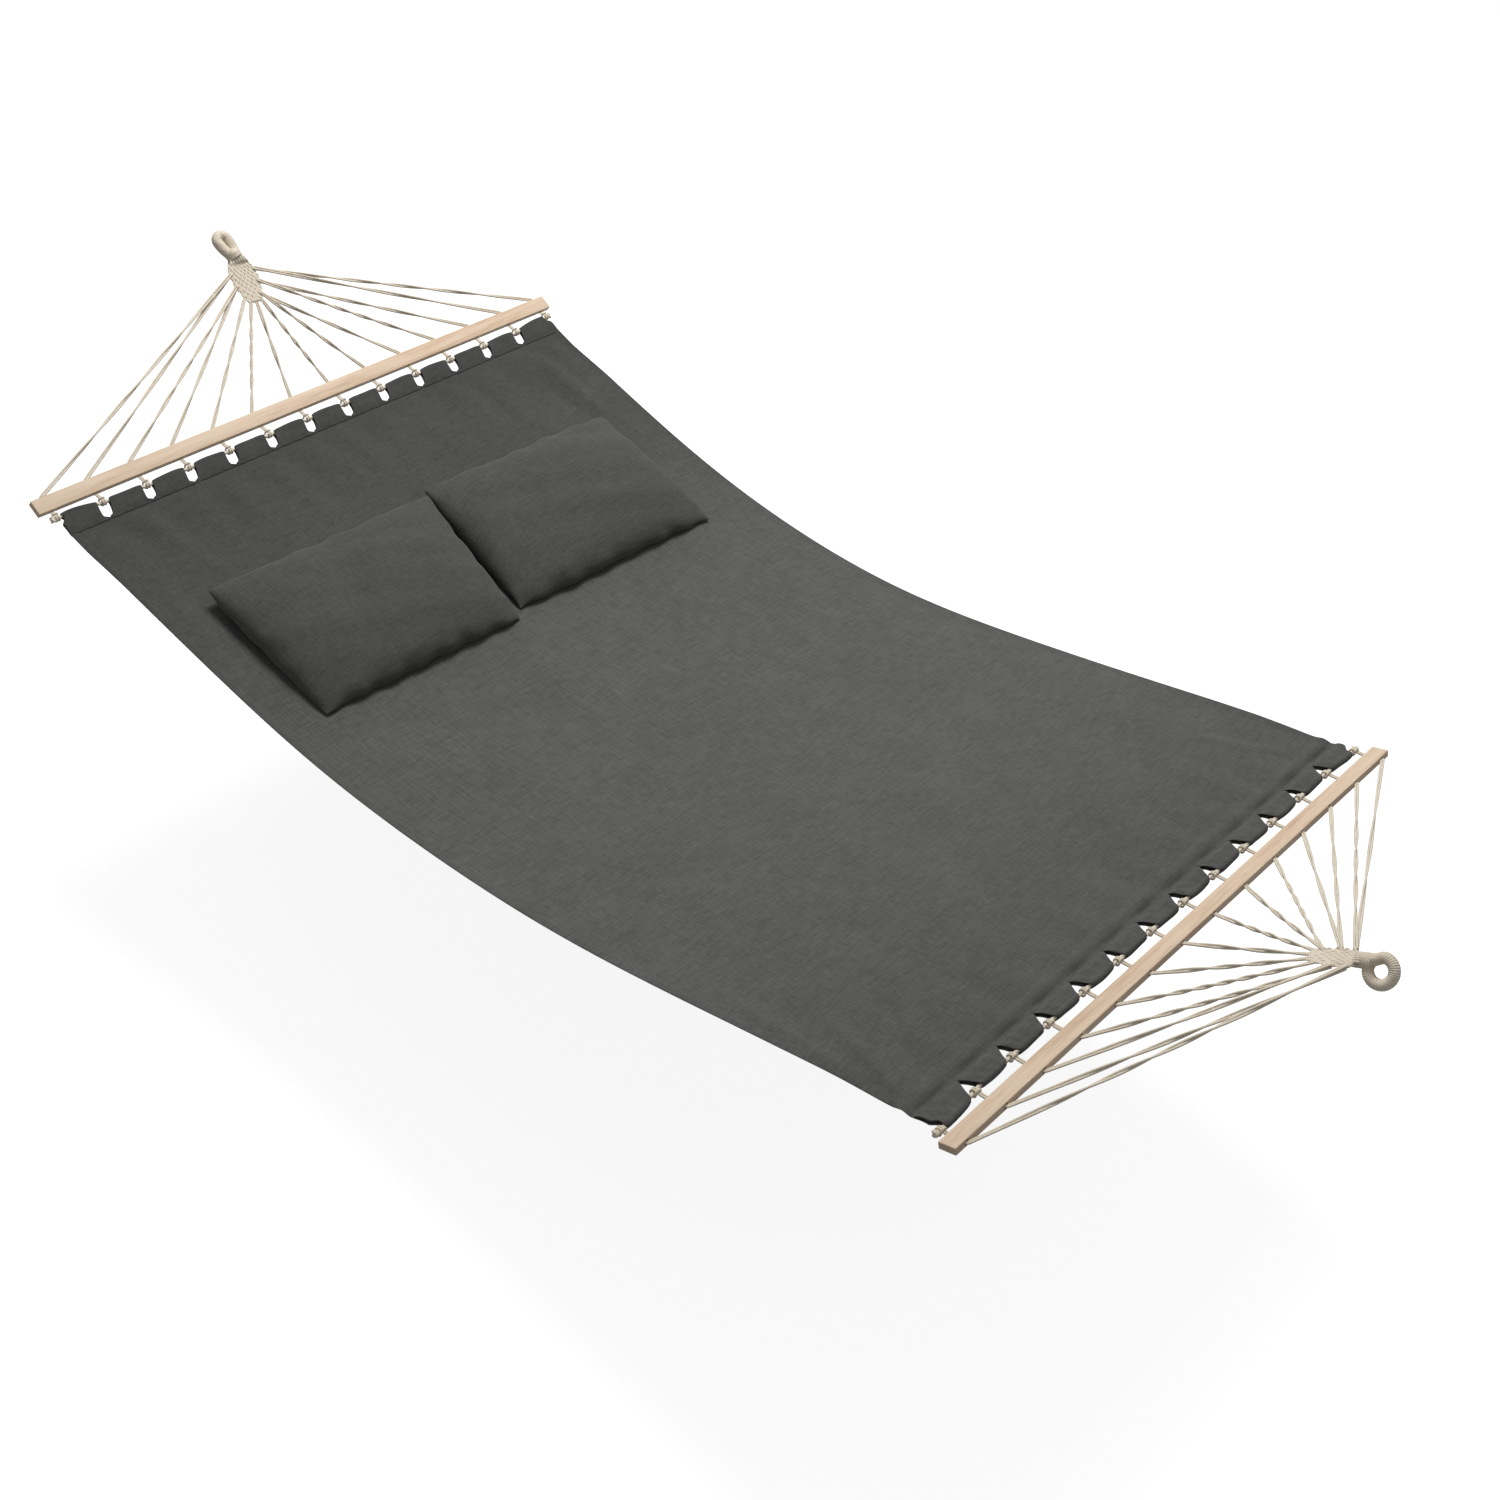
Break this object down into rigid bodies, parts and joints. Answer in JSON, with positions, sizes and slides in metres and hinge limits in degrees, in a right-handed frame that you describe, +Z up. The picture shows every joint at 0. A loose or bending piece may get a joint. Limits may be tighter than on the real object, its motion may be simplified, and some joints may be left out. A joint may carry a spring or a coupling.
{
  "type": "double hammock",
  "caption": "Wide fabric hammock on wooden spreader bars, with fanned suspension cords, woven crowns, wrapped rope eyes and loose pillows. It swings about its hanging line.",
  "frame": {"origin": "middle of the straight level line between the two necks, where the crowns meet the eyes", "axes": "+X from the head end to the foot end, along the line the hammock hangs and swings on; +Y across it; +Z up"},
  "size_m": [3.0501, 1.49, 0.4489],
  "materials": {
    "bed_canvas": "matte woven dark grey canvas",
    "pillow_canvas": "matte woven dark grey canvas, filled",
    "pale_wood": "bare pale hardwood, lightly sanded",
    "cotton_rope": "matte natural cotton cord",
    "whipping_cord": "matte natural cotton cord, close wound"
  },
  "bodies": {
    "eyes": {"head_eye": "cotton_rope", "foot_eye": "cotton_rope", "head_eye_whipping": "whipping_cord", "foot_eye_whipping": "whipping_cord"},
    "hammock": {"bed_fabric": "bed_canvas", "head_hem": "bed_canvas", "head_hem_rope": "cotton_rope", "head_spreader_bar": "pale_wood", "head_crown": "cotton_rope", "head_cord_01": "cotton_rope", "head_cord_02": "cotton_rope", "head_cord_03": "cotton_rope", "head_cord_04": "cotton_rope", "head_cord_05": "cotton_rope", "head_cord_06": "cotton_rope", "head_cord_07": "cotton_rope", "head_cord_08": "cotton_rope", "head_cord_09": "cotton_rope", "head_cord_10": "cotton_rope", "head_cord_11": "cotton_rope", "head_cord_12": "cotton_rope", "head_cord_13": "cotton_rope", "head_cord_14": "cotton_rope", "foot_hem": "bed_canvas", "foot_hem_rope": "cotton_rope", "foot_spreader_bar": "pale_wood", "foot_crown": "cotton_rope", "foot_cord_01": "cotton_rope", "foot_cord_02": "cotton_rope", "foot_cord_03": "cotton_rope", "foot_cord_04": "cotton_rope", "foot_cord_05": "cotton_rope", "foot_cord_06": "cotton_rope", "foot_cord_07": "cotton_rope", "foot_cord_08": "cotton_rope", "foot_cord_09": "cotton_rope", "foot_cord_10": "cotton_rope", "foot_cord_11": "cotton_rope", "foot_cord_12": "cotton_rope", "foot_cord_13": "cotton_rope", "foot_cord_14": "cotton_rope"},
    "left_pillow": {"left_pillow": "pillow_canvas"},
    "right_pillow": {"right_pillow": "pillow_canvas"}
  },
  "joints": [
    {"name": "swing", "type": "hinge", "parent": "eyes", "child": "hammock", "pos_m": [0, 0, 0], "axis": [1, 0, 0], "range_deg": [-30, 30]},
    {"name": "left_pillow_lift", "type": "slide", "parent": "hammock", "child": "left_pillow", "axis": [0.1586, 0, 0.9873], "range_m": [0, 0.25]},
    {"name": "right_pillow_lift", "type": "slide", "parent": "hammock", "child": "right_pillow", "axis": [0.1617, 0, 0.9868], "range_m": [0, 0.25]}
  ]
}
